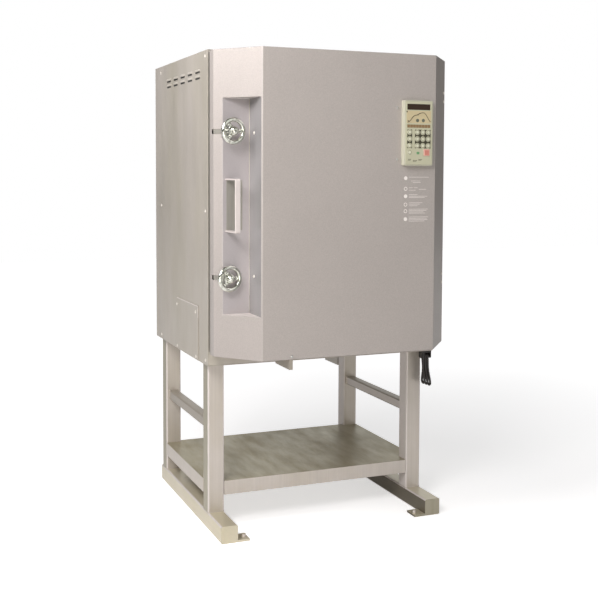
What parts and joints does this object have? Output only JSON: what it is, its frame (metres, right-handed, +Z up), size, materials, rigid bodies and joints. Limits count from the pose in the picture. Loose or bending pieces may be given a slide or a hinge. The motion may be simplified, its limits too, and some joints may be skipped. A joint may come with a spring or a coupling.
{
  "type": "electric pottery kiln",
  "caption": "Front-loading electric kiln: steel cabinet with a hinged clamp-down door and keypad controller, on a square-tube stand with a shelf.",
  "frame": {"origin": "bottom centre of the box around the whole kiln, on the floor", "axes": "+Z up, the door faces -Y, +X to the right as one faces the door"},
  "size_m": [0.7429, 0.914, 1.401],
  "materials": {
    "side_paint": "satin silver-grey paint on sheet steel",
    "door_paint": "fine textured silver-grey paint",
    "stand_paint": "satin silver paint on steel tube",
    "shelf_steel": "bare streaky steel sheet",
    "chrome": "bright plating",
    "plated_steel": "zinc plated",
    "firebrick": "porous insulating firebrick, matte",
    "fibre": "white ceramic fibre blanket",
    "element_wire": "oxidised heating wire",
    "thermocouple_ceramic": "unglazed ceramic sheath",
    "case_plastic": "ivory moulded plastic",
    "key_plastic": "pale round keys",
    "red_key_plastic": "red square key",
    "clamp_rubber": "black moulded clamp",
    "cord_rubber": "black cord sheath"
  },
  "bodies": {
    "root": {"left_side_panel": "side_paint", "right_side_panel": "side_paint", "top_panel": "side_paint", "floor_pan": "side_paint", "back_panel": "side_paint", "front_frame": "side_paint", "upper_keeper": "plated_steel", "lower_keeper": "plated_steel", "inspection_cover": "side_paint", "rear_terminal_box": "side_paint", "lining_left": "firebrick", "lining_right": "firebrick", "lining_back": "firebrick", "lining_roof": "firebrick", "lining_floor": "firebrick", "element_left": "element_wire", "element_right": "element_wire", "thermocouple": "thermocouple_ceramic", "leg_front_left": "stand_paint", "leg_front_right": "stand_paint", "leg_rear_left": "stand_paint", "leg_rear_right": "stand_paint", "foot_beam_left": "stand_paint", "foot_beam_right": "stand_paint", "side_rail_left": "stand_paint", "side_rail_right": "stand_paint", "shelf_tray": "shelf_steel", "hinge_upper_fixed": "side_paint", "hinge_lower_fixed": "side_paint", "cable_clamp": "clamp_rubber", "cord_hank": "cord_rubber"},
    "door": {"door_shell": "door_paint", "door_back_pan": "side_paint", "door_lining": "firebrick", "door_gasket": "fibre", "hinge_upper_leaf": "side_paint", "hinge_lower_leaf": "side_paint", "pull_handle": "stand_paint", "controller_case": "case_plastic", "upper_clamp_bracket": "plated_steel", "lower_clamp_bracket": "plated_steel", "switch_striker": "side_paint"},
    "upper_clamp": {"upper_clamp_spindle": "chrome", "upper_handwheel": "chrome"},
    "lower_clamp": {"lower_clamp_spindle": "chrome", "lower_handwheel": "chrome"},
    "key_01_body": {"key_01": "key_plastic"},
    "key_02_body": {"key_02": "key_plastic"},
    "key_03_body": {"key_03": "key_plastic"},
    "key_04_body": {"key_04": "key_plastic"},
    "key_05_body": {"key_05": "key_plastic"},
    "key_06_body": {"key_06": "key_plastic"},
    "key_07_body": {"key_07": "key_plastic"},
    "key_08_body": {"key_08": "key_plastic"},
    "key_09_body": {"key_09": "key_plastic"},
    "key_10_body": {"key_10": "key_plastic"},
    "key_11_body": {"key_11": "key_plastic"},
    "key_12_body": {"key_12": "key_plastic"},
    "key_13_body": {"key_13": "key_plastic"},
    "red_key_body": {"red_key": "red_key_plastic"}
  },
  "joints": [
    {"name": "door_hinge", "type": "hinge", "parent": "root", "child": "door", "pos_m": [0.3625, -0.2683, 0.949], "axis": [0, 0, 1], "range_deg": [0, 110]},
    {"name": "upper_clamp_turn", "type": "hinge", "parent": "door", "child": "upper_clamp", "pos_m": [-0.3399, -0.3353, 1.1673], "axis": [-0.2079, 0.9781, 0], "range_deg": [0, 90]},
    {"name": "lower_clamp_turn", "type": "hinge", "parent": "door", "child": "lower_clamp", "pos_m": [-0.3399, -0.3353, 0.759], "axis": [-0.2079, 0.9781, 0], "range_deg": [0, 90]},
    {"name": "key_01_press", "type": "slide", "parent": "door", "child": "key_01_body", "axis": [0, 1, 0], "range_m": [0, 0.001], "stiffness_N_per_m": 200},
    {"name": "key_02_press", "type": "slide", "parent": "door", "child": "key_02_body", "axis": [0, 1, 0], "range_m": [0, 0.001], "stiffness_N_per_m": 200},
    {"name": "key_03_press", "type": "slide", "parent": "door", "child": "key_03_body", "axis": [0, 1, 0], "range_m": [0, 0.001], "stiffness_N_per_m": 200},
    {"name": "key_04_press", "type": "slide", "parent": "door", "child": "key_04_body", "axis": [0, 1, 0], "range_m": [0, 0.001], "stiffness_N_per_m": 200},
    {"name": "key_05_press", "type": "slide", "parent": "door", "child": "key_05_body", "axis": [0, 1, 0], "range_m": [0, 0.001], "stiffness_N_per_m": 200},
    {"name": "key_06_press", "type": "slide", "parent": "door", "child": "key_06_body", "axis": [0, 1, 0], "range_m": [0, 0.001], "stiffness_N_per_m": 200},
    {"name": "key_07_press", "type": "slide", "parent": "door", "child": "key_07_body", "axis": [0, 1, 0], "range_m": [0, 0.001], "stiffness_N_per_m": 200},
    {"name": "key_08_press", "type": "slide", "parent": "door", "child": "key_08_body", "axis": [0, 1, 0], "range_m": [0, 0.001], "stiffness_N_per_m": 200},
    {"name": "key_09_press", "type": "slide", "parent": "door", "child": "key_09_body", "axis": [0, 1, 0], "range_m": [0, 0.001], "stiffness_N_per_m": 200},
    {"name": "key_10_press", "type": "slide", "parent": "door", "child": "key_10_body", "axis": [0, 1, 0], "range_m": [0, 0.001], "stiffness_N_per_m": 200},
    {"name": "key_11_press", "type": "slide", "parent": "door", "child": "key_11_body", "axis": [0, 1, 0], "range_m": [0, 0.001], "stiffness_N_per_m": 200},
    {"name": "key_12_press", "type": "slide", "parent": "door", "child": "key_12_body", "axis": [0, 1, 0], "range_m": [0, 0.001], "stiffness_N_per_m": 200},
    {"name": "key_13_press", "type": "slide", "parent": "door", "child": "key_13_body", "axis": [0, 1, 0], "range_m": [0, 0.001], "stiffness_N_per_m": 200},
    {"name": "red_key_press", "type": "slide", "parent": "door", "child": "red_key_body", "axis": [0, 1, 0], "range_m": [0, 0.001], "stiffness_N_per_m": 200}
  ]
}
